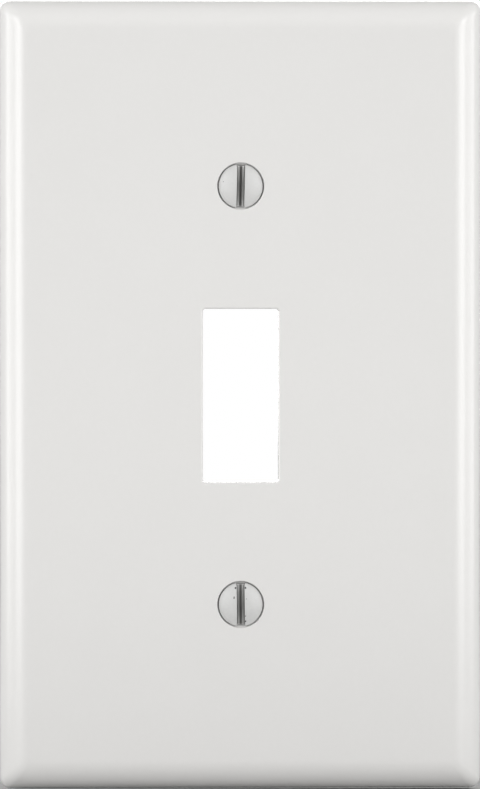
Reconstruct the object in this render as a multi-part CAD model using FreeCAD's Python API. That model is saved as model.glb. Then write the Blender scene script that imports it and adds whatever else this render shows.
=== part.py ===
"""One-gang toggle-switch wall plate cover with its two oval-head screws and their washers.

Frame: millimetres, +Z up, +X to the right as seen from the room, +Y into the wall.
Origin: on the wall plane, midway between the two screws. The front of the plate faces -Y.
"""

import FreeCAD, Part
import math
import os

# Plate, the standard one-gang size
PLATE_WIDTH = 69.85
PLATE_HEIGHT = 114.3
PLATE_DEPTH = 5.6
WALL = 2.4
EDGE_RADIUS = 4.3
EDGE_SWEEP_DEG = 85.0
CORNER_RADIUS = 1.6
RIM_DRAFT_DEG = 6.0

# Opening for the switch's toggle
OPENING_WIDTH = 10.9
OPENING_HEIGHT = 25.0
OPENING_CORNER = 0.4
OPENING_FRONT_ROUND = 0.25

# Back of the plate
COLLAR_WALL = 1.6
COLLAR_RISE = 1.2
BOSS_RADIUS = 4.4
RIB_THICKNESS = 1.2
RIB_RISE = 0.9
ROOT_BITE = 0.4
EJECTOR_RADIUS = 2.0
EJECTOR_DEPTH = 0.15
EJECTOR_X = 22.0
EJECTOR_ROWS_Z = (-46.0, -15.0, 15.0, 46.0)

# Screw holes
SCREW_SPACING = 60.325
BORE_RADIUS = 1.98
COUNTERSINK_MOUTH_RADIUS = 3.4
COUNTERSINK_LAND = 0.45
COUNTERSINK_HALF_ANGLE_DEG = 41.0

# Number 6-32 oval-head machine screw, half an inch long
SCREW_LENGTH = 12.7
THREAD_RADIUS = 1.7526
NECK_RADIUS = 1.5
HEAD_RADIUS = 3.175
HEAD_RIM = 0.22
CROWN_RISE = 0.8
HEAD_SUNK = 0.48
SLOT_WIDTH = 1.15
SLOT_BELOW_RIM = 0.5
TIP_CHAMFER = 0.4
THREAD_START_Y = -1.1

# Retaining washer behind each screw boss
WASHER_RADIUS = 3.5
WASHER_THICKNESS = 0.7
WASHER_HOLE_RADIUS = 1.8
WASHER_GAP = 0.1
WASHER_EDGE = 0.12

FRONT_Y = -PLATE_DEPTH
INNER_FACE_Y = FRONT_Y + WALL
BOSS_BACK_Y = INNER_FACE_Y + COLLAR_RISE
HALF_ANGLE = math.radians(COUNTERSINK_HALF_ANGLE_DEG)

# How far a cutting solid runs past the surface that it cuts
BEYOND = 5.0


def vector(x, y, z):
    return FreeCAD.Vector(x, y, z)


def box(x0, x1, y0, y1, z0, z1):
    """A box between two opposite corners."""
    return Part.makeBox(x1 - x0, y1 - y0, z1 - z0, vector(x0, y0, z0))


def cylinder_along_y(radius, y0, y1, z):
    """A cylinder along Y on the plate's middle line, at height z."""
    return Part.makeCylinder(radius, y1 - y0, vector(0, y0, z), vector(0, 1, 0))


def rounded_prism(half_width, half_height, radius, y0, y1):
    """A rounded rectangle on the X-Z plane, carried from y0 to y1."""
    prism = box(-half_width, half_width, y0, y1, -half_height, half_height)
    along_y = 0.99
    long_edges = [
        edge
        for edge in prism.Edges
        if abs(edge.tangentAt(edge.FirstParameter).y) > along_y
    ]
    return prism.makeFillet(radius, long_edges)


def edge_section(half, front_y, radius, sweep_deg, back_y):
    """Points of the half profile (across, depth): flat front, rounded edge, straight skirt to back_y."""
    sweep = math.radians(sweep_deg)
    centre_y = front_y + radius
    skirt_top = centre_y - radius * math.cos(sweep)
    skirt_drop = (back_y - skirt_top) / math.tan(sweep)
    arc_start = half - skirt_drop - radius * math.sin(sweep)
    middle = sweep / 2
    front = (arc_start, front_y)
    on_arc = (
        arc_start + radius * math.sin(middle),
        centre_y - radius * math.cos(middle),
    )
    arc_end = (arc_start + radius * math.sin(sweep), skirt_top)
    back = (half, back_y)
    return front, on_arc, arc_end, back


def edged_bar(half, front_y, radius, sweep_deg, back_y, reach, across_x):
    """The edge section on both sides, closed across the back and carried along the other direction."""
    front, on_arc, arc_end, back = edge_section(half, front_y, radius, sweep_deg, back_y)

    def place(point, side):
        across, depth = point
        if across_x:
            return vector(side * across, depth, -reach)
        return vector(-reach, depth, side * across)

    edges = []
    edges.append(Part.LineSegment(place(front, -1), place(front, 1)).toShape())
    for side in (1, -1):
        rounded = Part.Arc(place(front, side), place(on_arc, side), place(arc_end, side))
        edges.append(rounded.toShape())
        edges.append(Part.LineSegment(place(arc_end, side), place(back, side)).toShape())
    edges.append(Part.LineSegment(place(back, 1), place(back, -1)).toShape())
    face = Part.Face(Part.Wire(Part.__sortEdges__(edges)))
    along = vector(0, 0, 2 * reach) if across_x else vector(2 * reach, 0, 0)
    return face.extrude(along)


def pillow(half_width, half_height, front_y, radius, sweep_deg, back_y, corner):
    """A rectangle whose four front edges are rounded and mitred, with rounded plan corners."""
    reach = PLATE_HEIGHT
    across = edged_bar(half_width, front_y, radius, sweep_deg, back_y, reach, True)
    upright = edged_bar(half_height, front_y, radius, sweep_deg, back_y, reach, False)
    outline = rounded_prism(half_width, half_height, corner, front_y - BEYOND, back_y + BEYOND)
    return across.common(upright).common(outline)


def outer_form():
    return pillow(
        PLATE_WIDTH / 2,
        PLATE_HEIGHT / 2,
        FRONT_Y,
        EDGE_RADIUS,
        EDGE_SWEEP_DEG,
        0.0,
        CORNER_RADIUS,
    )


def hollow_form():
    """The recess in the back, one wall thickness inside the outer form and open past the rim."""
    inner_radius = EDGE_RADIUS - WALL
    inner_sweep = 90.0 - RIM_DRAFT_DEG
    past_rim = 1.0
    widening = past_rim * math.tan(math.radians(RIM_DRAFT_DEG))
    return pillow(
        PLATE_WIDTH / 2 - WALL + widening,
        PLATE_HEIGHT / 2 - WALL + widening,
        INNER_FACE_Y,
        inner_radius,
        inner_sweep,
        past_rim,
        CORNER_RADIUS / 2,
    )


def screw_heights():
    return (SCREW_SPACING / 2, -SCREW_SPACING / 2)


def back_stiffening():
    """The collar round the opening, the two screw bosses, and the ribs that tie them to the walls."""
    half_w = OPENING_WIDTH / 2 + COLLAR_WALL
    half_h = OPENING_HEIGHT / 2 + COLLAR_WALL
    root_y = INNER_FACE_Y - ROOT_BITE
    rib_back = INNER_FACE_Y + RIB_RISE
    half_rib = RIB_THICKNESS / 2
    side_reach = PLATE_WIDTH / 2 - WALL
    added = rounded_prism(half_w, half_h, COLLAR_WALL, root_y, BOSS_BACK_Y)
    spine = box(-half_rib, half_rib, root_y, rib_back, -SCREW_SPACING / 2, SCREW_SPACING / 2)
    added = added.fuse(spine)
    for z in screw_heights():
        boss = cylinder_along_y(BOSS_RADIUS, root_y, BOSS_BACK_Y, z)
        cross_rib = box(-side_reach, side_reach, root_y, rib_back, z - half_rib, z + half_rib)
        added = added.fuse(boss).fuse(cross_rib)
    return added


def opening_cut():
    """The opening for the toggle, with its front edge eased."""
    half_w = OPENING_WIDTH / 2
    half_h = OPENING_HEIGHT / 2
    throat = rounded_prism(half_w, half_h, OPENING_CORNER, FRONT_Y - BEYOND, BEYOND)
    ease = OPENING_FRONT_ROUND
    floor = rounded_outline(half_w, half_h, OPENING_CORNER, FRONT_Y + ease)
    mouth = rounded_outline(half_w + ease, half_h + ease, OPENING_CORNER + ease, FRONT_Y)
    flare = Part.makeLoft([floor, mouth], True, True)
    return throat.fuse(flare)


def rounded_outline(half_width, half_height, radius, y):
    """The closed outline of a rounded rectangle at depth y."""
    edges = []
    turn = radius * math.sqrt(0.5)
    for sx, sz in ((1, 1), (-1, 1), (-1, -1), (1, -1)):
        centre = (sx * (half_width - radius), sz * (half_height - radius))
        on_side = vector(sx * half_width, y, centre[1])
        on_corner = vector(centre[0] + sx * turn, y, centre[1] + sz * turn)
        on_end = vector(centre[0], y, sz * half_height)
        edges.append(Part.Arc(on_side, on_corner, on_end).toShape())
        if sx * sz > 0:
            next_end = vector(-centre[0], y, sz * half_height)
            edges.append(Part.LineSegment(on_end, next_end).toShape())
        else:
            next_side = vector(sx * half_width, y, -centre[1])
            edges.append(Part.LineSegment(on_side, next_side).toShape())
    return Part.Wire(Part.__sortEdges__(edges))


def screw_hole_cut(z):
    """One clearance bore with its countersink below a short straight land, open past both faces."""
    land_end = FRONT_Y + COUNTERSINK_LAND
    bore = cylinder_along_y(BORE_RADIUS, FRONT_Y - BEYOND, BEYOND, z)
    land = cylinder_along_y(COUNTERSINK_MOUTH_RADIUS, FRONT_Y - BEYOND, land_end, z)
    cone_depth = (COUNTERSINK_MOUTH_RADIUS - BORE_RADIUS) / math.tan(HALF_ANGLE)
    cone = Part.makeCone(
        COUNTERSINK_MOUTH_RADIUS,
        BORE_RADIUS,
        cone_depth,
        vector(0, land_end, z),
        vector(0, 1, 0),
    )
    return bore.fuse(land).fuse(cone)


def ejector_marks():
    """Shallow round marks that the mould's pins leave on the inner face."""
    marks = []
    for x in (-EJECTOR_X, EJECTOR_X):
        for z in EJECTOR_ROWS_Z:
            base = vector(x, INNER_FACE_Y - EJECTOR_DEPTH, z)
            marks.append(Part.makeCylinder(EJECTOR_RADIUS, BEYOND, base, vector(0, 1, 0)))
    return marks


def cover_plate():
    plate = outer_form().cut(hollow_form())
    plate = plate.fuse(back_stiffening())
    plate = plate.cut(opening_cut())
    for z in screw_heights():
        plate = plate.cut(screw_hole_cut(z))
    for mark in ejector_marks():
        plate = plate.cut(mark)
    return plate.removeSplitter()


def screw(z):
    """An oval-head screw with its rim sunk below the face, slotted from top to bottom."""
    rim_back = FRONT_Y + HEAD_SUNK
    rim_front = rim_back - HEAD_RIM
    crown_top = rim_front - CROWN_RISE
    crown_radius = (HEAD_RADIUS**2 + CROWN_RISE**2) / (2 * CROWN_RISE)
    half_chord = HEAD_RADIUS / 2
    crown_dip = crown_radius - math.sqrt(crown_radius**2 - half_chord**2)
    cone_end = rim_back + (HEAD_RADIUS - NECK_RADIUS) / math.tan(HALF_ANGLE)
    thread_run_in = THREAD_RADIUS - NECK_RADIUS
    tip = rim_back + SCREW_LENGTH

    def at(radius, y):
        return vector(radius, y, z)

    crown = Part.Arc(at(0, crown_top), at(half_chord, crown_top + crown_dip), at(HEAD_RADIUS, rim_front))
    outline = [
        at(HEAD_RADIUS, rim_front),
        at(HEAD_RADIUS, rim_back),
        at(NECK_RADIUS, cone_end),
        at(NECK_RADIUS, THREAD_START_Y - thread_run_in),
        at(THREAD_RADIUS, THREAD_START_Y),
        at(THREAD_RADIUS, tip - TIP_CHAMFER),
        at(THREAD_RADIUS - TIP_CHAMFER, tip),
        at(0, tip),
        at(0, crown_top),
    ]
    edges = [crown.toShape()]
    for start, end in zip(outline, outline[1:]):
        edges.append(Part.LineSegment(start, end).toShape())
    face = Part.Face(Part.Wire(edges))
    body = face.revolve(vector(0, 0, z), vector(0, 1, 0), 360)
    slot = box(
        -SLOT_WIDTH / 2,
        SLOT_WIDTH / 2,
        crown_top - BEYOND,
        rim_front + SLOT_BELOW_RIM,
        z - 2 * HEAD_RADIUS,
        z + 2 * HEAD_RADIUS,
    )
    return body.cut(slot)


def retaining_washer(z):
    """A small soft washer round the screw, just behind the boss."""
    front = BOSS_BACK_Y + WASHER_GAP
    disc = cylinder_along_y(WASHER_RADIUS, front, front + WASHER_THICKNESS, z)
    rims = [edge for edge in disc.Edges if edge.Closed]
    disc = disc.makeChamfer(WASHER_EDGE, rims)
    hole = cylinder_along_y(WASHER_HOLE_RADIUS, front - BEYOND, front + BEYOND, z)
    return disc.cut(hole)


def save(shape, name):
    if shape.ShapeType == "Compound" and len(shape.Solids) == 1:
        shape = shape.Solids[0]
    shape.exportStep("parts/" + name + ".step")


def main():
    os.makedirs("parts", exist_ok=True)
    save(cover_plate(), "cover_plate")
    for place, z in zip(("upper", "lower"), screw_heights()):
        save(screw(z), place + "_screw")
        save(retaining_washer(z), place + "_retaining_washer")


main()
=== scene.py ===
# %% [markdown]
# A one-gang wall plate cover: a moulded white plate with rounded, mitred edges, a tall opening for a
# switch's toggle, and two oval-head screws with the little washers that keep them from falling out.
# The sizes, places and joints are settled already. Here each piece gets the surface that an eye close
# to the real one would see. The frame below holds the plain solids, and every finished piece is drawn
# exactly where its plain solid lies and then stands in for it.

# %% Open the frame
import math

import bmesh
import bpy
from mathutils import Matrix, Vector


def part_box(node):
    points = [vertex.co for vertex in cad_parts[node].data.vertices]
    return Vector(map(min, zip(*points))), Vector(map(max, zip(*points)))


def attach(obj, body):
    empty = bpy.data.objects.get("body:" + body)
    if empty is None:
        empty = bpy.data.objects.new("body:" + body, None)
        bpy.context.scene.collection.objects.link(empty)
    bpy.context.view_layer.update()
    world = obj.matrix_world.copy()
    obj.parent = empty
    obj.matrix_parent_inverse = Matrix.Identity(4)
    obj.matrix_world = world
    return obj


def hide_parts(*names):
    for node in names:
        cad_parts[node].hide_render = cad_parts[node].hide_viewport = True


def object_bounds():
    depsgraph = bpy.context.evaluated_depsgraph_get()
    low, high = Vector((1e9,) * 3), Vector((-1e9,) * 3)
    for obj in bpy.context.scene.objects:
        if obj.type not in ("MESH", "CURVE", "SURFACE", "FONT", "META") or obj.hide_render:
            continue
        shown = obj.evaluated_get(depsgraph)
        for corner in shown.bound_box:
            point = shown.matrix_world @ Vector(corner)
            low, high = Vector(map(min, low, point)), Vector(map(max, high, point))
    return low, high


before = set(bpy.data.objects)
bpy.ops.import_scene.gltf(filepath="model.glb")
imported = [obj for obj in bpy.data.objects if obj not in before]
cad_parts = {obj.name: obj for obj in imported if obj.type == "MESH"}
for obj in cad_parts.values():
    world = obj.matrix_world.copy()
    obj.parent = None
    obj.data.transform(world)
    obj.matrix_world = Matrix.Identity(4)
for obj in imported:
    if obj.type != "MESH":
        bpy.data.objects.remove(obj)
cad_low, cad_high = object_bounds()

MM = 0.001
print("box of the plain solids, mm:", [round(v / MM, 3) for v in (*cad_low, *cad_high)])

# %% [markdown]
# The plate and the screws are read off the frame: how wide and tall the plate is, where its front and
# its rim lie, and where each screw's head and tip are. Only the small sizes that the frame doesn't
# name, such as wall thickness and edge radii, are written here as values.

# %% Read the main sizes
plate_low, plate_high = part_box("cover_plate")
HALF_WIDTH = (plate_high.x - plate_low.x) / 2
HALF_HEIGHT = (plate_high.z - plate_low.z) / 2
FRONT = plate_low.y
RIM = plate_high.y

WALL = 2.4 * MM
EDGE_RADIUS = 4.3 * MM
EDGE_SWEEP = math.radians(85)
INNER_SWEEP = math.radians(84)
INNER_FACE = FRONT + WALL
BOSS_BACK = INNER_FACE + 1.2 * MM

SCREWS = {"upper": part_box("upper_screw"), "lower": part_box("lower_screw")}
SCREW_HEIGHT = {place: (low.z + high.z) / 2 for place, (low, high) in SCREWS.items()}
print("plate, mm:", round(2 * HALF_WIDTH / MM, 2), "x", round(2 * HALF_HEIGHT / MM, 2))
print("screw heights, mm:", {place: round(z / MM, 3) for place, z in SCREW_HEIGHT.items()})

# %% [markdown]
# Most of this object follows rules: walls that run round a rounded rectangle, a thread that winds
# round a shank. Geometry Nodes are made for that, but a tree of arithmetic nodes is slow to write by
# hand and hard to read. So a small class stands for a number inside a tree. Adding or multiplying two
# of them adds a Math node, and a rule can then be written down as the formula that it is.

# %% Numbers that live in a node tree
class Formula:
    """A number that a node tree works out. Arithmetic on it adds Math nodes to the tree."""

    def __init__(self, tree, socket):
        self.tree = tree
        self.socket = socket


def feed(tree, value, socket):
    """Puts a plain value on a socket, or links a worked-out one to it."""
    if isinstance(value, Formula):
        tree.links.new(value.socket, socket)
    elif isinstance(value, bpy.types.NodeSocket):
        tree.links.new(value, socket)
    else:
        socket.default_value = value


def add_node(tree, kind, inputs=None, **settings):
    """A new node with its settings made and its inputs fed by name or by number."""
    made = tree.nodes.new(kind)
    for name, value in settings.items():
        setattr(made, name, value)
    for name, value in (inputs or {}).items():
        feed(tree, value, made.inputs[name])
    return made


def calculate(operation, *values, clamp=False):
    """One Math node on two or three values, of which at least one is a Formula."""
    tree = next(value.tree for value in values if isinstance(value, Formula))
    made = add_node(tree, "ShaderNodeMath", dict(enumerate(values)), operation=operation)
    made.use_clamp = clamp
    return Formula(tree, made.outputs[0])


def arithmetic(operation, swapped):
    def apply(first, second):
        if swapped:
            first, second = second, first
        return calculate(operation, first, second)

    return apply


SIGNS = {
    "add": "ADD",
    "sub": "SUBTRACT",
    "mul": "MULTIPLY",
    "truediv": "DIVIDE",
    "mod": "FLOORED_MODULO",
}
for word, operation in SIGNS.items():
    setattr(Formula, f"__{word}__", arithmetic(operation, False))
    setattr(Formula, f"__r{word}__", arithmetic(operation, True))


# %% Names for the other sums
def sine(value):
    return calculate("SINE", value)


def cosine(value):
    return calculate("COSINE", value)


def root(value):
    """The square root, with anything below nothing taken as nothing."""
    return calculate("SQRT", larger(value, 0.0))


def larger(first, second):
    return calculate("MAXIMUM", first, second)


def smaller(first, second):
    return calculate("MINIMUM", first, second)


def size_of(value):
    return calculate("ABSOLUTE", value)


def whole(value):
    return calculate("FLOOR", value)


def share(value):
    """The value kept between 0 and 1."""
    return calculate("ADD", value, 0.0, clamp=True)


def blend_of(first, second, amount):
    return first + (second - first) * amount


def place_at(tree, x, y, z):
    """A point from its three numbers."""
    made = add_node(tree, "ShaderNodeCombineXYZ", {"X": x, "Y": y, "Z": z})
    return made.outputs[0]


def choose(index, values):
    """The value whose turn the index says, counted from 0."""
    tree = index.tree
    made = add_node(tree, "GeometryNodeIndexSwitch", data_type="FLOAT")
    for _ in range(len(values) - 2):
        made.index_switch_items.new()
    feed(tree, index, made.inputs["Index"])
    for turn, value in enumerate(values):
        feed(tree, value, made.inputs[turn + 1])
    return Formula(tree, made.outputs[0])


# %% Start a tree, run a tree
SOCKETS = {float: "NodeSocketFloat", int: "NodeSocketInt", bpy.types.Material: "NodeSocketMaterial"}
WELD = 0.0005 * MM


def new_tree(name, inputs):
    """An empty tree with a geometry going in and out, and a Formula for each named number."""
    tree = bpy.data.node_groups.new(name, "GeometryNodeTree")
    tree.interface.new_socket("Geometry", in_out="INPUT", socket_type="NodeSocketGeometry")
    tree.interface.new_socket("Geometry", in_out="OUTPUT", socket_type="NodeSocketGeometry")
    for label, kind in inputs.items():
        tree.interface.new_socket(label, in_out="INPUT", socket_type=SOCKETS[kind])
    arrivals = tree.nodes.new("NodeGroupInput")
    named = {label: Formula(tree, arrivals.outputs[label]) for label in inputs}
    return tree, arrivals.outputs["Geometry"], named


def finish_tree(tree, geometry, materials):
    """Realizes instances, sets the materials, each with the faces that it is for, and ends the tree."""
    made = add_node(tree, "GeometryNodeRealizeInstances", {"Geometry": geometry})
    for material, faces in materials:
        inputs = {"Geometry": made.outputs[0], "Material": material}
        if faces is not None:
            inputs["Selection"] = faces
        made = add_node(tree, "GeometryNodeSetMaterial", inputs)
    out = tree.nodes.new("NodeGroupOutput")
    tree.links.new(made.outputs[0], out.inputs[0])
    print(tree.name, "has", len(tree.nodes), "nodes")


def run_tree(tree, start, values):
    """Runs a tree on a start mesh with these input values, and gives back a plain mesh."""
    carrier = bpy.data.objects.new("carrier", start)
    bpy.context.scene.collection.objects.link(carrier)
    modifier = carrier.modifiers.new("shape", "NODES")
    modifier.node_group = tree
    for item in tree.interface.items_tree:
        if item.in_out == "INPUT" and item.name in values:
            modifier[item.identifier] = values[item.name]
    evaluated = carrier.evaluated_get(bpy.context.evaluated_depsgraph_get())
    mesh = bpy.data.meshes.new_from_object(evaluated)
    if mesh.materials and mesh.materials[0] is None:
        mesh.materials.pop(index=0)
    carrier.modifiers.remove(modifier)
    bpy.data.objects.remove(carrier)
    return mesh


def sheet_of_points(tree, rows, columns):
    """A grid whose points are told apart by row and column, ready to be moved where they belong."""
    grid = add_node(tree, "GeometryNodeMeshGrid", {"Vertices X": rows, "Vertices Y": columns})
    index = Formula(tree, add_node(tree, "GeometryNodeInputIndex").outputs[0])
    row = whole((index + 0.5) / columns)
    column = index - row * columns
    return grid.outputs["Mesh"], row, column


def moved_to(tree, geometry, position):
    made = add_node(tree, "GeometryNodeSetPosition", {"Geometry": geometry, "Position": position})
    return made.outputs[0]


def mark(tree, geometry, label, value):
    """Stores a number on every point, for a material or a selection to read."""
    inputs = {"Geometry": geometry, "Name": label, "Value": value}
    kinds = {"data_type": "FLOAT", "domain": "POINT"}
    return add_node(tree, "GeometryNodeStoreNamedAttribute", inputs, **kinds).outputs[0]


def joined(tree, geometries):
    made = add_node(tree, "GeometryNodeJoinGeometry")
    for geometry in geometries:
        tree.links.new(geometry, made.inputs[0])
    return made.outputs[0]


# %% [markdown]
# The plate is one moulding about 2.4 mm thick. Every wall of it, the rounded outer edge, the hollow
# behind, the collar round the opening, the opening itself, the screw bosses and their countersunk
# holes, is the same kind of thing: a short section line carried round a rounded rectangle, or round a
# circle, which is a rounded rectangle that is all corner. One tree makes them all. The section goes in
# as a line of points, with how far each lies outside the outline and how deep it is. A box with a
# Bevel modifier would be quicker, but its corners can't change radius on the way from rim to face.

# %% The wall tree
QUARTER = math.pi / 2


def wall_tree():
    lengths = ("Half Width", "Half Height", "Corner Radius", "Centre X", "Centre Z")
    numbers = dict.fromkeys([*lengths, "Corner Follow", "Inside"], float)
    tree, section, given = new_tree("wall round an outline", {**numbers, "Steps": int})
    steps = given["Steps"]
    around = (steps + 1) * 4
    points = add_node(tree, "GeometryNodeAttributeDomainSize", {0: section})
    rows = Formula(tree, points.outputs["Point Count"])
    grid, row, column = sheet_of_points(tree, rows, around + 1)
    column = column % around
    corner = whole((column + 0.5) / (steps + 1))
    turn = (corner + (column - corner * (steps + 1)) / steps) * QUARTER
    side_x = calculate("SIGN", cosine((corner + 0.5) * QUARTER))
    side_z = calculate("SIGN", sine((corner + 0.5) * QUARTER))
    position = add_node(tree, "GeometryNodeInputPosition")
    sampled = add_node(tree, "GeometryNodeSampleIndex", data_type="FLOAT_VECTOR", domain="POINT")
    for value, socket in ((section, "Geometry"), (position.outputs[0], "Value"), (row, "Index")):
        feed(tree, value, sampled.inputs[socket])
    parts = add_node(tree, "ShaderNodeSeparateXYZ", {0: sampled.outputs[0]})
    outside = Formula(tree, parts.outputs["X"])
    depth = Formula(tree, parts.outputs["Y"])
    radius = given["Corner Radius"] + given["Corner Follow"] * outside
    x = given["Centre X"] + side_x * (given["Half Width"] + outside - radius) + radius * cosine(turn)
    z = given["Centre Z"] + side_z * (given["Half Height"] + outside - radius) + radius * sine(turn)
    shaped = moved_to(tree, grid, place_at(tree, x, depth, z))
    welded = add_node(tree, "GeometryNodeMergeByDistance", {"Geometry": shaped, "Distance": WELD})
    finish_tree(tree, mark(tree, welded.outputs[0], "inside", given["Inside"]), [])
    return tree


WALL_TREE = wall_tree()


# %% Draw section lines
def arc(centre, radius, start, end, steps):
    """Points (outside, depth) along an arc. Angle 0 points outwards and a quarter turn points deeper."""
    points = []
    for step in range(steps + 1):
        angle = start + (end - start) * step / steps
        points.append((centre[0] + radius * math.cos(angle), centre[1] + radius * math.sin(angle)))
    return points


def line_mesh(points):
    """A mesh of points joined in a line, which is how a section goes into the wall tree."""
    mesh = bpy.data.meshes.new("section")
    pairs = [(i, i + 1) for i in range(len(points) - 1)]
    mesh.from_pydata([(x, y, 0) for x, y in points], pairs, [])
    return mesh


def pillow_section(depth, radius, sweep, lip, outward, margin, steps):
    """From the flat face over its rounded edge, along the leaning wall and round the lip at the rim."""
    skirt_top = depth + radius * (1 - math.cos(sweep))
    inset = (RIM - skirt_top) / math.tan(sweep) + radius * math.sin(sweep)
    rounded = arc((-inset, depth + radius), radius, -QUARTER, sweep - QUARTER, steps)
    rim = arc((-outward * lip, RIM - lip), lip, 0 if outward > 0 else math.pi, QUARTER, 4)
    return [(-inset - margin, depth), *rounded, *rim]


MARGIN = 0.3 * MM
HOLLOW_RADIUS = EDGE_RADIUS - WALL
outer_section = pillow_section(FRONT, EDGE_RADIUS, EDGE_SWEEP, 0.12 * MM, 1, MARGIN, 24)
hollow_section = pillow_section(INNER_FACE, HOLLOW_RADIUS, INNER_SWEEP, 0.15 * MM, -1, MARGIN, 12)
print("outer section has", len(outer_section), "points, hollow section", len(hollow_section))

# %% [markdown]
# The openings in the plate use the same tree with other sections. The collar stands 1.2 mm proud of the
# inner face, and the throat through it is eased by a quarter of a millimetre at the front. Each screw
# hole is a bore with an 82 degree countersink, which lets the head sit just below the face. Small
# radii are real on a moulded part: a mould can't be perfectly sharp, and without them no edge catches
# the light.

# %% Sections of the openings and bosses
OPENING_HALF_WIDTH = 5.45 * MM
OPENING_HALF_HEIGHT = 12.5 * MM
OPENING_CORNER = 0.4 * MM
COLLAR_WALL = 1.6 * MM
BOSS_RADIUS = 4.4 * MM
BORE_RADIUS = 1.98 * MM
MOUTH_RADIUS = 3.4 * MM
LAND = 0.45 * MM
CONE_ANGLE = math.radians(41)
THROAT_EASE = 0.25 * MM
MARK_RADIUS = 2.0 * MM
MARK_DEPTH = 0.15 * MM
MARK_COLUMNS = (-22 * MM, 22 * MM)
MARK_ROWS = (-46 * MM, -15 * MM, 15 * MM, 46 * MM)
EDGE_EASE = 0.15 * MM
SHARP_EASE = 0.04 * MM
ROOT_FILLET = 0.35 * MM
# how far each section runs on into the flat beside it
SUPPORT = 0.2 * MM


def throat_section(front_ease):
    """From the collar's back edge through to the face, for an outline at the opening itself."""
    back = arc((EDGE_EASE, BOSS_BACK - EDGE_EASE), EDGE_EASE, QUARTER, 2 * QUARTER, 4)
    front = arc((front_ease, FRONT + front_ease), front_ease, 2 * QUARTER, 3 * QUARTER, 6)
    return [(EDGE_EASE + SUPPORT / 2, BOSS_BACK), *back, *front, (front_ease + SUPPORT, FRONT)]


def standing_section():
    """From the inner face round a root fillet, up a standing wall and over its edge."""
    root_arc = arc((ROOT_FILLET, INNER_FACE + ROOT_FILLET), ROOT_FILLET, 3 * QUARTER, 2 * QUARTER, 6)
    edge = arc((-EDGE_EASE, BOSS_BACK - EDGE_EASE), EDGE_EASE, 0, QUARTER, 4)
    start = (ROOT_FILLET + SUPPORT, INNER_FACE)
    return [start, *root_arc, *edge, (-EDGE_EASE - SUPPORT / 2, BOSS_BACK)]


def countersink_section():
    """From the boss's back edge along the bore, the cone and the land, for an outline at the bore."""
    mouth = MOUTH_RADIUS - BORE_RADIUS
    land_end = FRONT + LAND
    cone_start = land_end + mouth / math.tan(CONE_ANGLE)
    back = arc((EDGE_EASE, BOSS_BACK - EDGE_EASE), EDGE_EASE, QUARTER, 2 * QUARTER, 4)
    lip_centre = (mouth + SHARP_EASE, FRONT + SHARP_EASE)
    rounded = arc(lip_centre, SHARP_EASE, 2 * QUARTER, 3 * QUARTER, 4)
    start = (EDGE_EASE + SUPPORT / 2, BOSS_BACK)
    end = (mouth + SHARP_EASE + SUPPORT / 2, FRONT)
    return [start, *back, (0, cone_start), (mouth, land_end), *rounded, end]


def mark_section():
    """From the floor of a pin mark up to the inner face."""
    floor = INNER_FACE - MARK_DEPTH
    low = [(-SUPPORT, floor), (-SHARP_EASE, floor), (0, floor + SHARP_EASE)]
    high = [(0, INNER_FACE - SHARP_EASE), (SHARP_EASE, INNER_FACE), (SUPPORT / 2, INNER_FACE)]
    return [*low, *high]


# %% Make every wall of the plate
def wall(section, half_width, half_height, corner, follow=1.0, centre=(0.0, 0.0), inside=0.0, steps=8):
    """One wall of the plate, from its section and its outline."""
    values = {
        "Half Width": half_width,
        "Half Height": half_height,
        "Corner Radius": corner,
        "Corner Follow": follow,
        "Centre X": centre[0],
        "Centre Z": centre[1],
        "Inside": inside,
        "Steps": steps,
    }
    return run_tree(WALL_TREE, line_mesh(section), values)


def round_wall(section, radius, centre, inside=0.0, steps=24):
    return wall(section, radius, radius, radius, centre=centre, inside=inside, steps=steps)


def plate_walls():
    corner = 1.6 * MM
    hollow = (HALF_WIDTH - WALL, HALF_HEIGHT - WALL, corner / 2)
    opening = (OPENING_HALF_WIDTH, OPENING_HALF_HEIGHT, OPENING_CORNER)
    collar = (OPENING_HALF_WIDTH + COLLAR_WALL, OPENING_HALF_HEIGHT + COLLAR_WALL, COLLAR_WALL)
    walls = [
        wall(outer_section, HALF_WIDTH, HALF_HEIGHT, corner, follow=0.22, steps=10),
        wall(hollow_section, *hollow, follow=0.1, inside=1.0),
        wall(throat_section(THROAT_EASE), *opening),
        wall(standing_section(), *collar, inside=1.0),
    ]
    for z in SCREW_HEIGHT.values():
        walls.append(round_wall(standing_section(), BOSS_RADIUS, (0.0, z), inside=1.0))
        walls.append(round_wall(countersink_section(), BORE_RADIUS, (0.0, z)))
    for x in MARK_COLUMNS:
        for z in MARK_ROWS:
            walls.append(round_wall(mark_section(), MARK_RADIUS, (x, z), inside=1.0, steps=12))
    return walls


# %% Close the flats between the walls
def fill_flat(shape, depth):
    """Fills every open outline at one depth with flat triangles, leaving the holes inside it open."""
    outlines = [
        edge
        for edge in shape.edges
        if edge.is_boundary and all(abs(v.co.y - depth) < WELD for v in edge.verts)
    ]
    bmesh.ops.triangle_fill(shape, edges=outlines, use_beauty=True, normal=(0, -1, 0))
    return len(outlines)


def closed_plate():
    shape = bmesh.new()
    for mesh in plate_walls():
        shape.from_mesh(mesh)
        bpy.data.meshes.remove(mesh)
    for depth in (FRONT, INNER_FACE - MARK_DEPTH, INNER_FACE, BOSS_BACK, RIM):
        edges = fill_flat(shape, depth)
        print("flat at", round(depth / MM, 2), "mm closed from", edges, "edges")
    bmesh.ops.recalc_face_normals(shape, faces=shape.faces)
    gaps = sum(not edge.is_manifold for edge in shape.edges)
    print("plate:", len(shape.faces), "faces,", gaps, "open edges, volume mm3",
          round(shape.calc_volume() / MM**3, 1))
    return shape


plate_shape = closed_plate()

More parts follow.
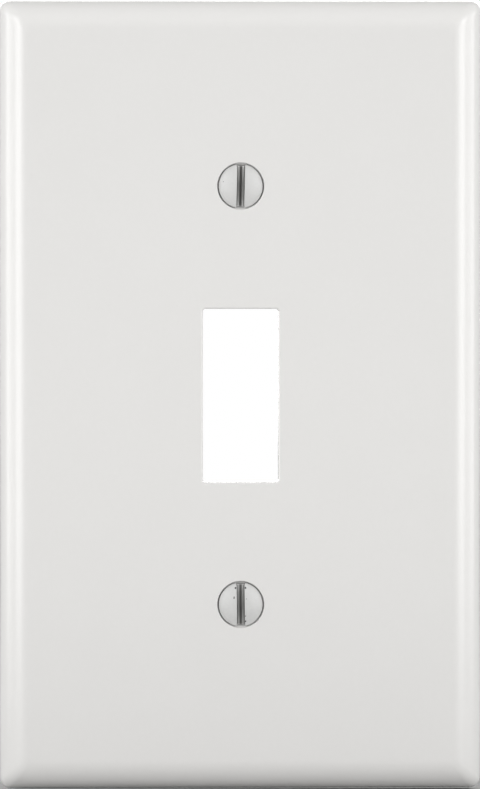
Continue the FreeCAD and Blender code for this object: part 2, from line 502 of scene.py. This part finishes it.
# %% [markdown]
# Behind the face, thin ribs stiffen the plate: one runs down the middle between the screw bosses, and
# one crosses the plate at each screw, so that tightening the screw doesn't bend the face. They repeat
# one section along straight lines, so a tree sweeps that section along every line that it is given.
# The section is a trapezoid, because a moulded rib has to be thinner at its top to leave the mould.

# %% The rib tree
def rib_tree():
    names = ("Root Thickness", "Top Thickness", "Rise", "Root Depth", "Edge Radius")
    tree, lines, given = new_tree("ribs along lines", dict.fromkeys(names, float))
    to_curve = add_node(tree, "GeometryNodeMeshToCurve", {"Mesh": lines})
    aimed = add_node(
        tree,
        "GeometryNodeSetCurveNormal",
        {"Curve": to_curve.outputs[0], "Normal": (0, 1, 0)},
        mode="FREE",
    )
    outline = add_node(
        tree,
        "GeometryNodeCurvePrimitiveQuadrilateral",
        {
            "Height": given["Rise"] + given["Root Depth"],
            "Bottom Width": given["Root Thickness"],
            "Top Width": given["Top Thickness"],
            "Offset": 0.0,
        },
        mode="TRAPEZOID",
    )
    fillet_inputs = {"Curve": outline.outputs[0], "Radius": given["Edge Radius"], "Count": 4}
    eased = add_node(tree, "GeometryNodeFilletCurve", fillet_inputs, mode="POLY")
    centre_shift = place_at(tree, 0.0, (given["Rise"] - given["Root Depth"]) / 2, 0.0)
    inputs = {"Geometry": eased.outputs[0], "Translation": centre_shift}
    stood = add_node(tree, "GeometryNodeTransform", inputs)
    turned = add_node(
        tree,
        "GeometryNodeTransform",
        {"Geometry": stood.outputs[0], "Rotation": (0, 0, -QUARTER)},
    )
    swept = add_node(
        tree,
        "GeometryNodeCurveToMesh",
        {"Curve": aimed.outputs[0], "Profile Curve": turned.outputs[0], "Fill Caps": True},
    )
    finish_tree(tree, mark(tree, swept.outputs[0], "inside", 1.0), [])
    return tree


# %% Run the ribs between walls, bosses and collar
def rib_lines():
    """A mesh with one edge per rib, each end a little way inside the wall that it meets."""
    bite = 0.5 * MM
    wall_x = HALF_WIDTH - WALL + bite
    boss_edge = BOSS_RADIUS - bite
    collar_end = OPENING_HALF_HEIGHT + COLLAR_WALL - bite
    ends = []
    for z in SCREW_HEIGHT.values():
        inward = math.copysign(1, -z)
        ends.append(((0, z + inward * boss_edge), (0, -inward * collar_end)))
        for side in (-1, 1):
            ends.append(((side * boss_edge, z), (side * wall_x, z)))
    points = [(x, INNER_FACE, z) for pair in ends for x, z in pair]
    mesh = bpy.data.meshes.new("rib lines")
    mesh.from_pydata(points, [(i, i + 1) for i in range(0, len(points), 2)], [])
    return mesh


RIB_VALUES = {
    "Root Thickness": 1.3 * MM,
    "Top Thickness": 1.1 * MM,
    "Rise": 0.9 * MM,
    "Root Depth": 0.4 * MM,
    "Edge Radius": 0.2 * MM,
}
ribs = run_tree(rib_tree(), rib_lines(), RIB_VALUES)
rib_depths = [v.co.y / MM for v in ribs.vertices]
print("ribs:", len(ribs.polygons), "faces, from depth", round(min(rib_depths), 2), "mm")
print("to depth", round(max(rib_depths), 2), "mm")


# %% Join the plate
def finished_mesh(name, shape, smooth_below):
    """A named mesh from a shape, smooth except where it turns by more than an angle."""
    mesh = bpy.data.meshes.new(name)
    shape.to_mesh(mesh)
    shape.free()
    mesh.shade_smooth()
    mesh.set_sharp_from_angle(angle=math.radians(smooth_below))
    return mesh


plate_shape.from_mesh(ribs)
plate_mesh = finished_mesh("cover_plate_moulding", plate_shape, 35)
plate = bpy.data.objects.new("cover_plate_moulding", plate_mesh)
bpy.context.scene.collection.objects.link(plate)
print("plate mesh has", len(plate_mesh.polygons), "faces")

# %% [markdown]
# The screws are standard oval-head machine screws, half an inch long. The head is a shallow dome over a
# cone, with a driver slot sawn straight across. The shank is rolled, not cut, so its plain part is
# as thick as the thread's middle height. One tree makes the whole screw as a single closed skin. Its
# points lie in columns that run along the slot, crowded where the surface turns sharply, and the same
# columns carry on down the cone and round the thread. Cutting the slot with a Boolean would be
# quicker, but it leaves slivers that a Bevel can't round, and the rounded slot edge is what shows.

# %% Sizes of a screw
HEAD_RADIUS = (SCREWS["upper"][1].x - SCREWS["upper"][0].x) / 2
CROWN_TOP = SCREWS["upper"][0].y
TIP = SCREWS["upper"][1].y

SCREW_VALUES = {
    "Head Radius": HEAD_RADIUS,
    "Crown Top": CROWN_TOP,
    "Crown Rise": 0.8 * MM,
    "Rim Depth": 0.22 * MM,
    "Rim Ease": 0.05 * MM,
    "Cone Slope": math.tan(CONE_ANGLE),
    "Slot Width": 1.13 * MM,
    "Slot Depth": 1.3 * MM,
    "Slot Ease": 0.05 * MM,
    "Slot Floor Radius": 0.42 * MM,
    "Slot Flare": 0.1 * MM,
    "Neck Radius": 1.5 * MM,
    "Thread Radius": 1.7526 * MM,
    "Root Radius": 1.27 * MM,
    "Pitch": 0.79375 * MM,
    "Thread Start": -1.35 * MM,
    "Tip": TIP,
    "Tip Radius": 1.24 * MM,
}
PER_TURN = 12
FLAT_CRESTS = 1.6
# the tip from its edge inwards: share of its radius, and depth of the cup in pitches
CUP = [(1.0, 0.0), (0.78, 0.0), (0.7, 0.02), (0.35, 0.16), (0.0, 0.2)]
print("screw length from crown to tip, mm:", round((TIP - CROWN_TOP) / MM, 2))


# %% Columns across the head
SLOT_STEPS = {"floor": 3, "floor corner": 5, "slot wall": 3, "slot edge": 4, "dome": 14}
HALF_COLUMNS = sum(SLOT_STEPS.values())
HALF_ROWS = 16
FLARE_START = 0.86
LIP_START = 0.94


def ramps(step):
    """How far a column has got through each stretch of the head's section, each from 0 to 1."""
    passed = 0
    found = {}
    for stretch, steps in SLOT_STEPS.items():
        found[stretch] = share((step - passed) / steps)
        passed += steps
    return found


def column_reach(found, given, half_slot, radius):
    """How far from the slot's middle line a column lies, where the screw has this radius."""
    floor_radius = given["Slot Floor Radius"]
    ease = given["Slot Ease"]
    flat = found["floor"] * (half_slot - floor_radius)
    corner = floor_radius * sine(found["floor corner"] * QUARTER)
    edge = ease * (1.0 - cosine(found["slot edge"] * QUARTER))
    dome = (radius - half_slot - ease) * sine(found["dome"] * QUARTER)
    return flat + corner + edge + dome


# %% The head's surface as a rule
def head_point(given, column, along):
    """Where the head's surface is, by column and by how far along it, from -1 (foot) to 1 (top)."""
    step = size_of(column)
    side = calculate("SIGN", column)
    found = ramps(step)
    near_end = share((size_of(along) - FLARE_START) / (1 - FLARE_START))
    half_slot = given["Slot Width"] / 2 + given["Slot Flare"] * near_end * near_end
    rim_front = given["Crown Top"] + given["Crown Rise"]
    rim_back = rim_front + given["Rim Depth"]
    floor = given["Crown Top"] + given["Slot Depth"]
    corner_lift = given["Slot Floor Radius"] * (1.0 - cosine(found["floor corner"] * QUARTER))
    in_slot = floor - corner_lift
    edge_drop = given["Slot Ease"] * (1.0 - sine(found["slot edge"] * QUARTER))
    end_depth = blend_of(in_slot, rim_front + edge_drop, found["slot wall"])
    end_radius = given["Head Radius"] - larger(end_depth - rim_back, 0.0) * given["Cone Slope"]
    reach = column_reach(found, given, half_slot, end_radius)
    along_z = along * root(end_radius * end_radius - reach * reach)
    radius = smaller(root(reach * reach + along_z * along_z), given["Head Radius"])
    rise = given["Crown Rise"]
    ball = (given["Head Radius"] * given["Head Radius"] / rise + rise) / 2
    crown = given["Crown Top"] + ball - root(ball * ball - radius * radius)
    into_rim = larger(radius - given["Head Radius"] + given["Rim Ease"], 0.0)
    ease = given["Rim Ease"]
    rolled = ease - root(ease * ease - into_rim * into_rim)
    depth = blend_of(in_slot, crown + rolled + edge_drop, found["slot wall"])
    return side * reach, depth, along_z, end_radius, found


# %% The head of the screw
def screw_head(tree, given):
    """The head as seen from the front, with the marks that its finishes read."""
    grid, row, column = sheet_of_points(tree, 2 * HALF_ROWS + 1, 2 * HALF_COLUMNS + 1)
    along = sine((row - HALF_ROWS) / HALF_ROWS * QUARTER)
    x, depth, z, _, found = head_point(given, column - HALF_COLUMNS, along)
    head = moved_to(tree, grid, place_at(tree, x, depth, z))
    head = mark(tree, head, "bare", 1.0 - found["slot edge"])
    # the across mark lets the slot's steel take painted shade along its middle and painted highlights
    # towards its walls
    head = mark(tree, head, "across", size_of(x) / (given["Slot Width"] / 2))
    # the slot end mark is where the slot's steel gets a painted highlight
    return mark(tree, head, "slot end", share((size_of(along) - LIP_START) / 0.05))


# %% Columns round the shank
RING = 4 * HALF_COLUMNS


def ring_column(column):
    """The head's column and its end, counted along the head's top and then back along its foot."""
    top = share((2 * HALF_COLUMNS + 0.5 - column) * 1000.0)
    place = HALF_COLUMNS - size_of(column - 2 * HALF_COLUMNS)
    return place, top * 2.0 - 1.0


def ring_angle(given, column):
    """Each column's angle round the shank, clockwise as seen from the front."""
    place, end = ring_column(column)
    half_slot = given["Slot Width"] / 2 + given["Slot Flare"]
    neck = given["Neck Radius"]
    reach = column_reach(ramps(size_of(place)), given, half_slot, neck)
    lean = calculate("ARCSINE", share(reach / neck)) * calculate("SIGN", place)
    return blend_of(math.pi - lean, lean, share(end))


# %% The cone and the neck
def screw_cone(tree, given):
    """The cone under the head and the plain neck, as far as the start of the thread."""
    rim_back = given["Crown Top"] + given["Crown Rise"] + given["Rim Depth"]
    floor = given["Crown Top"] + given["Slot Depth"]
    half_slot = given["Slot Width"] / 2 + given["Slot Flare"]
    neck = given["Neck Radius"]
    start = given["Thread Start"]
    floor_radius = given["Head Radius"] - (floor - rim_back) * given["Cone Slope"]
    neck_depth = rim_back + (given["Head Radius"] - neck) / given["Cone Slope"]
    grid, row, column = sheet_of_points(tree, 7, RING + 1)
    place, end = ring_column(column)
    _, edge_depth, _, edge_radius, found = head_point(given, place, end)
    below_edge = larger(edge_depth, rim_back)
    rim_radius = given["Head Radius"] - larger(edge_depth - rim_back, 0.0) * given["Cone Slope"]
    middle = (floor_radius + neck) / 2
    middle_depth = (floor + neck_depth) / 2
    on_neck = (neck_depth + start) / 2
    radius = choose(row, [edge_radius, rim_radius, floor_radius, middle, neck, neck, neck])
    depths = [edge_depth, below_edge, floor, middle_depth, neck_depth, on_neck, start]
    reach = column_reach(found, given, half_slot, radius)
    side = calculate("SIGN", place)
    z = end * root(radius * radius - reach * reach)
    return moved_to(tree, grid, place_at(tree, side * reach, choose(row, depths), z))


# %% The thread and the tip
def screw_thread(tree, given):
    """The thread, whose rows wind forward by one pitch a turn."""
    start = given["Thread Start"]
    turns = calculate("CEIL", (given["Tip"] - start) / given["Pitch"]) + 1.0
    grid, row, column = sheet_of_points(tree, turns * PER_TURN + 1, RING + 1)
    angle = ring_angle(given, column)
    wound = (row / PER_TURN - 1.0 + (angle + QUARTER) / (4 * QUARTER)) * given["Pitch"]
    depth = smaller(start + larger(wound, 0.0), given["Tip"])
    swing = share((cosine(row / PER_TURN * 4 * QUARTER) * FLAT_CRESTS + 1.0) / 2)
    full = blend_of(given["Root Radius"], given["Thread Radius"], swing)
    run_in = share((depth - start) / given["Pitch"])
    tapered = given["Tip Radius"] + (given["Tip"] - depth)
    radius = smaller(blend_of(given["Neck Radius"], full, run_in), tapered)
    return moved_to(tree, grid, place_at(tree, radius * sine(angle), depth, radius * cosine(angle)))


def screw_tip(tree, given):
    """The flat tip, with the shallow cup that rolling leaves in its middle."""
    grid, row, column = sheet_of_points(tree, len(CUP), RING + 1)
    angle = ring_angle(given, column)
    radius = given["Tip Radius"] * choose(row, [reach for reach, _ in CUP])
    depth = given["Tip"] - given["Pitch"] * choose(row, [hollow for _, hollow in CUP])
    return moved_to(tree, grid, place_at(tree, radius * sine(angle), depth, radius * cosine(angle)))


# %% The screw tree
def screw_tree(enamel, bare, zinc):
    names = dict.fromkeys([*SCREW_VALUES, "Height", "Lean"], float)
    tree, _, given = new_tree("rolled screw", names)
    head = screw_head(tree, given)
    shank = joined(tree, [part(tree, given) for part in (screw_cone, screw_thread, screw_tip)])
    skin = joined(tree, [head, mark(tree, shank, "plated", 1.0)])
    welded = add_node(tree, "GeometryNodeMergeByDistance", {0: skin, "Distance": WELD})
    turn = place_at(tree, 0.0, given["Lean"], 0.0)
    shift = place_at(tree, 0.0, 0.0, given["Height"])
    inputs = {"Geometry": welded.outputs[0], "Rotation": turn, "Translation": shift}
    placed = add_node(tree, "GeometryNodeTransform", inputs)

    def where(label):
        read = add_node(tree, "GeometryNodeInputNamedAttribute", {"Name": label}, data_type="FLOAT")
        return calculate("GREATER_THAN", Formula(tree, read.outputs[0]), 0.5)

    materials = [(enamel, None), (bare, where("bare")), (zinc, where("plated"))]
    finish_tree(tree, placed.outputs[0], materials)
    return tree


# %% [markdown]
# A retaining washer is a small ring punched from fibre sheet. It grips the thread behind the plate, so
# the screws stay with the plate while it is handled. Its section, a rectangle with slightly pressed
# edges, is carried round a circle by a third tree. The punch leaves the ring a little uneven, so the
# same tree moves its skin in and out by a few hundredths of a millimetre.

# %% The washer tree
WASHERS = {"upper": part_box("upper_retaining_washer"), "lower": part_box("lower_retaining_washer")}
WASHER_HOLE = 1.8 * MM
# room for the unevenness, so that the skin stays inside the plain washer's box
WASHER_ROOM = 0.03 * MM


def washer_tree(fibre):
    names = ("Outer Radius", "Hole Radius", "Front", "Back", "Edge Ease", "Unevenness", "Height")
    tree, _, given = new_tree("punched washer", dict.fromkeys(names, float))
    middle = (given["Outer Radius"] + given["Hole Radius"]) / 2
    inputs = {"Resolution": 96, "Radius": middle}
    path = add_node(tree, "GeometryNodeCurvePrimitiveCircle", inputs, mode="RADIUS")
    across = given["Outer Radius"] - given["Hole Radius"]
    inputs = {"Width": across, "Height": given["Back"] - given["Front"]}
    outline = add_node(tree, "GeometryNodeCurvePrimitiveQuadrilateral", inputs, mode="RECTANGLE")
    fillet_inputs = {"Curve": outline.outputs[0], "Radius": given["Edge Ease"], "Count": 4}
    eased = add_node(tree, "GeometryNodeFilletCurve", fillet_inputs, mode="POLY")
    swept = add_node(
        tree,
        "GeometryNodeCurveToMesh",
        {"Curve": path.outputs[0], "Profile Curve": eased.outputs[0]},
    )
    noise = add_node(tree, "ShaderNodeTexNoise", {"Scale": 900.0, "Detail": 2.0}, noise_dimensions="3D")
    bump = (Formula(tree, noise.outputs[0]) - 0.5) * given["Unevenness"]
    normal = add_node(tree, "GeometryNodeInputNormal")
    offset = add_node(tree, "ShaderNodeVectorMath", {0: normal.outputs[0]}, operation="SCALE")
    feed(tree, bump, offset.inputs["Scale"])
    inputs = {"Geometry": swept.outputs[0], "Offset": offset.outputs[0]}
    uneven = add_node(tree, "GeometryNodeSetPosition", inputs)
    centre = place_at(tree, 0.0, (given["Front"] + given["Back"]) / 2, given["Height"])
    placed = add_node(
        tree,
        "GeometryNodeTransform",
        {"Geometry": uneven.outputs[0], "Rotation": (QUARTER, 0, 0), "Translation": centre},
    )
    finish_tree(tree, placed.outputs[0], [(fibre, None)])
    return tree


# %% [markdown]
# The plate is moulded from a white thermoset. It has a soft gloss, a very faint unevenness in its tone
# and a skin with a fine orange peel, which spreads each highlight a little. Behind the face the mould
# is less polished, so that side is duller. All of this is noise read at the object's own coordinates,
# so that it stays put when the piece moves.

# %% Start a material
def new_material(name, **values):
    """A material with its shader's constant values set on the shader's own sockets."""
    made = bpy.data.materials.new(name)
    made.use_nodes = True
    tree = made.node_tree
    shader = tree.nodes["Principled BSDF"]
    for label, value in values.items():
        shader.inputs[label.replace("_", " ")].default_value = value
    return made, tree, shader


def object_noise(tree, per_mm, detail=2.0, roughness=0.5, stretch=(1.0, 1.0, 1.0)):
    """Noise on the object's own coordinates, with so many features to a millimetre, as a Formula."""
    spot = add_node(tree, "ShaderNodeTexCoord")
    inputs = {0: spot.outputs["Object"], 1: stretch}
    scaled = add_node(tree, "ShaderNodeVectorMath", inputs, operation="MULTIPLY")
    inputs = {"Vector": scaled.outputs[0], "Scale": per_mm / MM, "Detail": detail}
    inputs["Roughness"] = roughness
    made = add_node(tree, "ShaderNodeTexNoise", inputs, noise_dimensions="3D")
    return Formula(tree, made.outputs[0])


def tone(tree, dark, light, amount):
    """A colour between two, by an amount from 0 to 1."""
    mixed = add_node(tree, "ShaderNodeMix", data_type="RGBA")
    feed(tree, amount, mixed.inputs["Factor"])
    mixed.inputs[6].default_value = (*dark, 1)
    mixed.inputs[7].default_value = (*light, 1)
    return mixed.outputs[2]


def raise_grain(tree, shader, height, distance):
    bump = add_node(tree, "ShaderNodeBump", {"Strength": 1.0, "Distance": distance, "Height": height})
    tree.links.new(bump.outputs[0], shader.inputs["Normal"])


def mark_on(tree, label):
    """A number stored on the mesh by its tree, as a Formula."""
    read = add_node(tree, "ShaderNodeAttribute", attribute_name=label)
    return Formula(tree, read.outputs["Fac"])


# %% The moulded plastic
def moulded_plastic():
    made, tree, shader = new_material("white_moulded_plastic", IOR=1.56)
    broad = object_noise(tree, 0.12, 3.0)
    fine = object_noise(tree, 1.4, 3.0)
    mottle = share(broad * 0.5 + fine * 0.5)
    colour = tone(tree, (0.745, 0.738, 0.725), (0.775, 0.768, 0.756), mottle)
    tree.links.new(colour, shader.inputs["Base Color"])
    dull = mark_on(tree, "inside")
    feed(tree, 0.25 + (fine - 0.5) * 0.08 + dull * 0.2, shader.inputs["Roughness"])
    peel = object_noise(tree, 0.9, 2.0) * 0.6 + object_noise(tree, 4.0, 2.0) * 0.4
    raise_grain(tree, shader, peel, 0.004 * MM)
    return made


plastic = moulded_plastic()
plate.data.materials.clear()
plate.data.materials.append(plastic)


# %% [markdown]
# The screw heads are enamelled to match the plate, though a little greyer. The enamel is thin, and it
# is missing from the slot, where the saw and every screwdriver since have left bare, dark steel. In the
# slot that steel is painted darker along its middle, a painted shade, and lighter towards its walls
# and at its ends, painted highlights. Small chips show the same steel beside the slot. The rest of the
# screw is zinc-plated.

# %% The enamel and its chips
def chip_spots(tree, spots):
    """How far inside a chip a point is: above 0 in one, for round spots at (x, z, radius)."""
    place = add_node(tree, "ShaderNodeTexCoord")
    parts = add_node(tree, "ShaderNodeSeparateXYZ", {0: place.outputs["Object"]})
    x = Formula(tree, parts.outputs["X"])
    z = Formula(tree, parts.outputs["Z"])
    ragged = (object_noise(tree, 9.0, 2.0) - 0.5) * (0.16 * MM)
    inside = None
    for spot_x, spot_z, radius in spots:
        away_x = x - spot_x
        away_z = z - spot_z
        this = radius - root(away_x * away_x + away_z * away_z) + ragged
        inside = this if inside is None else larger(inside, this)
    return inside


def enamel(name, spots):
    made, tree, shader = new_material(name, IOR=1.5)
    chipped = share(chip_spots(tree, spots) / (0.03 * MM) + 0.5)
    fine = object_noise(tree, 3.0, 3.0)
    broad = object_noise(tree, 0.5, 2.0)
    painted = tone(tree, (0.57, 0.57, 0.565), (0.665, 0.665, 0.655), share(fine * 0.6 + broad * 0.4))
    mixed = add_node(tree, "ShaderNodeMix", {7: (0.05, 0.05, 0.055, 1), 6: painted}, data_type="RGBA")
    feed(tree, chipped, mixed.inputs["Factor"])
    tree.links.new(mixed.outputs[2], shader.inputs["Base Color"])
    feed(tree, 0.42 + (fine - 0.5) * 0.15 + chipped * 0.2, shader.inputs["Roughness"])
    raise_grain(tree, shader, fine * 0.5 - chipped, 0.01 * MM)
    return made


def bare_steel():
    made, tree, shader = new_material("bare_slot_steel", Metallic=0.7)
    streaks = object_noise(tree, 4.0, 3.0, 0.65, (1.0, 1.0, 0.1))
    # painted shade and highlights: darker along the slot's middle and lighter towards its walls, on top
    # of the steel's own streaks
    streaks_and_painted_light = share((mark_on(tree, "across") - 0.1) / 0.35) * 0.5 + (streaks - 0.5) * 0.7
    # painted highlight: the slot's steel is made lighter at both ends of the slot
    streaks_and_painted_light = streaks_and_painted_light + mark_on(tree, "slot end") * 0.6
    colour = tone(tree, (0.15, 0.148, 0.144), (0.62, 0.62, 0.61), share(streaks_and_painted_light))
    tree.links.new(colour, shader.inputs["Base Color"])
    feed(tree, 0.5 + (streaks - 0.5) * 0.3, shader.inputs["Roughness"])
    raise_grain(tree, shader, streaks, 0.02 * MM)
    return made


def zinc_plating():
    made, tree, shader = new_material("zinc_plating", Metallic=1.0)
    clouds = object_noise(tree, 0.8, 3.0)
    colour = tone(tree, (0.36, 0.37, 0.38), (0.52, 0.53, 0.54), clouds)
    tree.links.new(colour, shader.inputs["Base Color"])
    feed(tree, 0.28 + (object_noise(tree, 3.0, 3.0) - 0.5) * 0.2, shader.inputs["Roughness"])
    raise_grain(tree, shader, object_noise(tree, 6.0, 2.0), 0.004 * MM)
    return made


def washer_fibre():
    made, tree, shader = new_material("vulcanised_fibre", Roughness=0.85, Sheen_Weight=0.15)
    grain = object_noise(tree, 2.2, 4.0, 0.7)
    colour = tone(tree, (0.30, 0.22, 0.14), (0.46, 0.36, 0.26), grain)
    tree.links.new(colour, shader.inputs["Base Color"])
    raise_grain(tree, shader, grain, 0.03 * MM)
    return made


# %% Make the screws and washers
LEAN = {"upper": math.radians(1.2), "lower": math.radians(-0.6)}
CHIPS = {
    "upper": [(-2.5 * MM, 0.65 * MM, 0.06 * MM)],
    "lower": [
        (-0.76 * MM, 2.39 * MM, 0.13 * MM),
        (0.69 * MM, 2.39 * MM, 0.13 * MM),
        (-0.97 * MM, 0.92 * MM, 0.08 * MM),
        (-0.97 * MM, 1.08 * MM, 0.08 * MM),
        (0.80 * MM, 0.83 * MM, 0.06 * MM),
        (0.67 * MM, -1.66 * MM, 0.08 * MM),
        (0.68 * MM, -2.42 * MM, 0.11 * MM),
    ],
}


def add_piece(name, mesh, smooth_below):
    """An object at the origin with this mesh, smooth except where it turns sharply."""
    mesh.name = name
    mesh.shade_smooth()
    mesh.set_sharp_from_angle(angle=math.radians(smooth_below))
    made = bpy.data.objects.new(name, mesh)
    bpy.context.scene.collection.objects.link(made)
    print(name, "has", len(mesh.polygons), "faces")
    return made


steel = bare_steel()
zinc = zinc_plating()
fibre = washer_fibre()
nothing = bpy.data.meshes.new("nothing")
punched = washer_tree(fibre)
screws = {}
washers = {}
for place, height in SCREW_HEIGHT.items():
    spots = [(x, z + height, radius) for x, z, radius in CHIPS[place]]
    rolled = screw_tree(enamel(f"{place}_head_enamel", spots), steel, zinc)
    screw_values = {**SCREW_VALUES, "Height": height, "Lean": LEAN[place]}
    screws[place] = add_piece(f"{place}_oval_head_screw", run_tree(rolled, nothing, screw_values), 40)
    low, high = WASHERS[place]
    washer_values = {
        "Outer Radius": (high.x - low.x) / 2 - WASHER_ROOM,
        "Hole Radius": WASHER_HOLE,
        "Front": low.y + WASHER_ROOM,
        "Back": high.y - WASHER_ROOM,
        "Edge Ease": 0.1 * MM,
        "Unevenness": 0.05 * MM,
        "Height": height,
    }
    washers[place] = add_piece(f"{place}_fibre_washer", run_tree(punched, nothing, washer_values), 50)

# %% [markdown]
# Every finished piece now takes its place: it moves with the body that its plain solid belongs to, and
# it hides that solid.

# %% Hand the pieces to the frame
def take_place(piece, node):
    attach(piece, node)
    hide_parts(node)


take_place(plate, "cover_plate")
for place in SCREW_HEIGHT:
    take_place(screws[place], f"{place}_screw")
    take_place(washers[place], f"{place}_retaining_washer")

# %% [markdown]
# The plate stands on its lower edge on a plain pale floor, square to the camera, in soft studio light.
# A tall soft lamp on each side runs a broad highlight down each rounded side. The ones beside it fill
# the face and brighten the outermost edges, and one lamp behind lights the back. All of them stand at
# about the floor's height or above, so the lower edge stays in shade. The floor is painted a little
# darker round the plate, a painted shadow that keeps that shade, and it fades out with distance. The
# surroundings look white to the camera.

# %% The floor
def floor_material():
    made, tree, shader = new_material("pale_floor", Roughness=0.9, Specular_IOR_Level=0.2)
    place = add_node(tree, "ShaderNodeTexCoord")
    distance = add_node(tree, "ShaderNodeVectorMath", {0: place.outputs["Object"]}, operation="LENGTH")
    away = Formula(tree, distance.outputs["Value"])
    grain = object_noise(tree, 0.05, 2.0) - 0.5
    # painted shadow: the floor is darker within 4 cm of the plate and pales out by 15 cm, with a faint
    # random tone
    paler = share((away - 0.04) / 0.11) + grain * 0.15
    colour = tone(tree, (0.38, 0.38, 0.38), (0.62, 0.62, 0.615), paler)
    tree.links.new(colour, shader.inputs["Base Color"])
    feed(tree, 1.0 - share((away - 0.15) / 0.35), shader.inputs["Alpha"])
    return made


def floor_disc(radius):
    shape = bmesh.new()
    bmesh.ops.create_circle(shape, cap_ends=True, cap_tris=False, segments=96, radius=radius)
    for vertex in shape.verts:
        vertex.co.z = cad_low.z - 0.1 * MM
    mesh = bpy.data.meshes.new("floor")
    shape.to_mesh(mesh)
    shape.free()
    mesh.materials.append(floor_material())
    made = bpy.data.objects.new("floor", mesh)
    bpy.context.scene.collection.objects.link(made)


floor_disc(0.6)


# %% The surroundings
def surroundings(strength):
    """White to the camera. As a light, bright from above and the sides and dark from straight ahead."""
    world = bpy.data.worlds.new("studio")
    world.use_nodes = True
    tree = world.node_tree
    tree.nodes.clear()
    towards = add_node(tree, "ShaderNodeTexCoord").outputs["Generated"]
    inputs = {0: towards, 1: (0.0, -1.0, 0.0)}
    ahead = add_node(tree, "ShaderNodeVectorMath", inputs, operation="DOT_PRODUCT")
    height = add_node(tree, "ShaderNodeSeparateXYZ", {0: towards})
    wide = math.cos(math.radians(40))
    narrow = math.cos(math.radians(5))
    not_ahead = share((narrow - Formula(tree, ahead.outputs["Value"])) / (narrow - wide))
    above = share((Formula(tree, height.outputs["Z"]) + 0.1) / 0.2)
    seen = add_node(tree, "ShaderNodeBackground", {"Color": (1, 1, 1, 1), "Strength": 1.0})
    dim = add_node(tree, "ShaderNodeBackground", {"Color": (1.0, 0.995, 0.985, 1)})
    feed(tree, not_ahead * above * strength, dim.inputs["Strength"])
    path = add_node(tree, "ShaderNodeLightPath")
    inputs = {0: path.outputs["Is Camera Ray"], 1: dim.outputs[0], 2: seen.outputs[0]}
    mixed = add_node(tree, "ShaderNodeMixShader", inputs)
    out = add_node(tree, "ShaderNodeOutputWorld")
    tree.links.new(mixed.outputs[0], out.inputs["Surface"])
    bpy.context.scene.world = world


surroundings(0.49)


# %% The lamps
def lamp(name, azimuth, elevation, distance, width, height, power):
    """A soft rectangular lamp aimed at the plate. Azimuth 0 is in front and 90 is to the right."""
    turn = math.radians(azimuth)
    rise = math.radians(elevation)
    data = bpy.data.lights.new(name, "AREA")
    data.shape = "RECTANGLE"
    data.size = width
    data.size_y = height
    data.energy = power
    made = bpy.data.objects.new(name, data)
    flat = distance * math.cos(rise)
    made.location = (flat * math.sin(turn), -flat * math.cos(turn), distance * math.sin(rise))
    made.rotation_euler = (QUARTER - rise, 0, turn)
    made.visible_camera = False
    bpy.context.scene.collection.objects.link(made)


# name, azimuth, width, power on the left, power on the right
SIDE_LAMPS = [
    ("wing_light", 25, 0.25, 0.55, 0.55),
    ("softbox", 42, 0.52, 6.1, 6.1),
    ("edge_light", 67, 0.25, 1.2, 1.2),
    ("side_light", 87, 0.5, 4.5, 4.0),
]
for name, azimuth, width, left_power, right_power in SIDE_LAMPS:
    lamp(f"left_{name}", -azimuth, 9, 1.2, width, 0.95, left_power)
    lamp(f"right_{name}", azimuth, 9, 1.2, width, 0.95, right_power)
lamp("back_fill", 180, 15, 1.3, 0.8, 0.8, 5.0)
print("lamps:", 2 * len(SIDE_LAMPS) + 1)


# %% The camera
def camera():
    """A long lens almost straight in front of the plate, framed by the plate's own height."""
    data = bpy.data.cameras.new("camera")
    made = bpy.data.objects.new("camera", data)
    distance = 0.85
    shown_height = 2 * HALF_HEIGHT + 0.17 * MM
    from_left = math.radians(1.1)
    from_above = math.radians(1.5)
    data.sensor_width = 36.0
    data.lens = data.sensor_width * distance / shown_height
    flat = distance * math.cos(from_above)
    height = distance * math.sin(from_above)
    made.location = (-flat * math.sin(from_left), -flat * math.cos(from_left), height)
    made.rotation_euler = (QUARTER - from_above, 0, -from_left)
    bpy.context.scene.collection.objects.link(made)
    bpy.context.scene.camera = made
    print("lens mm:", round(data.lens, 1), " shown height mm:", round(shown_height / MM, 2))


camera()
bpy.context.scene.view_settings.view_transform = "Standard"
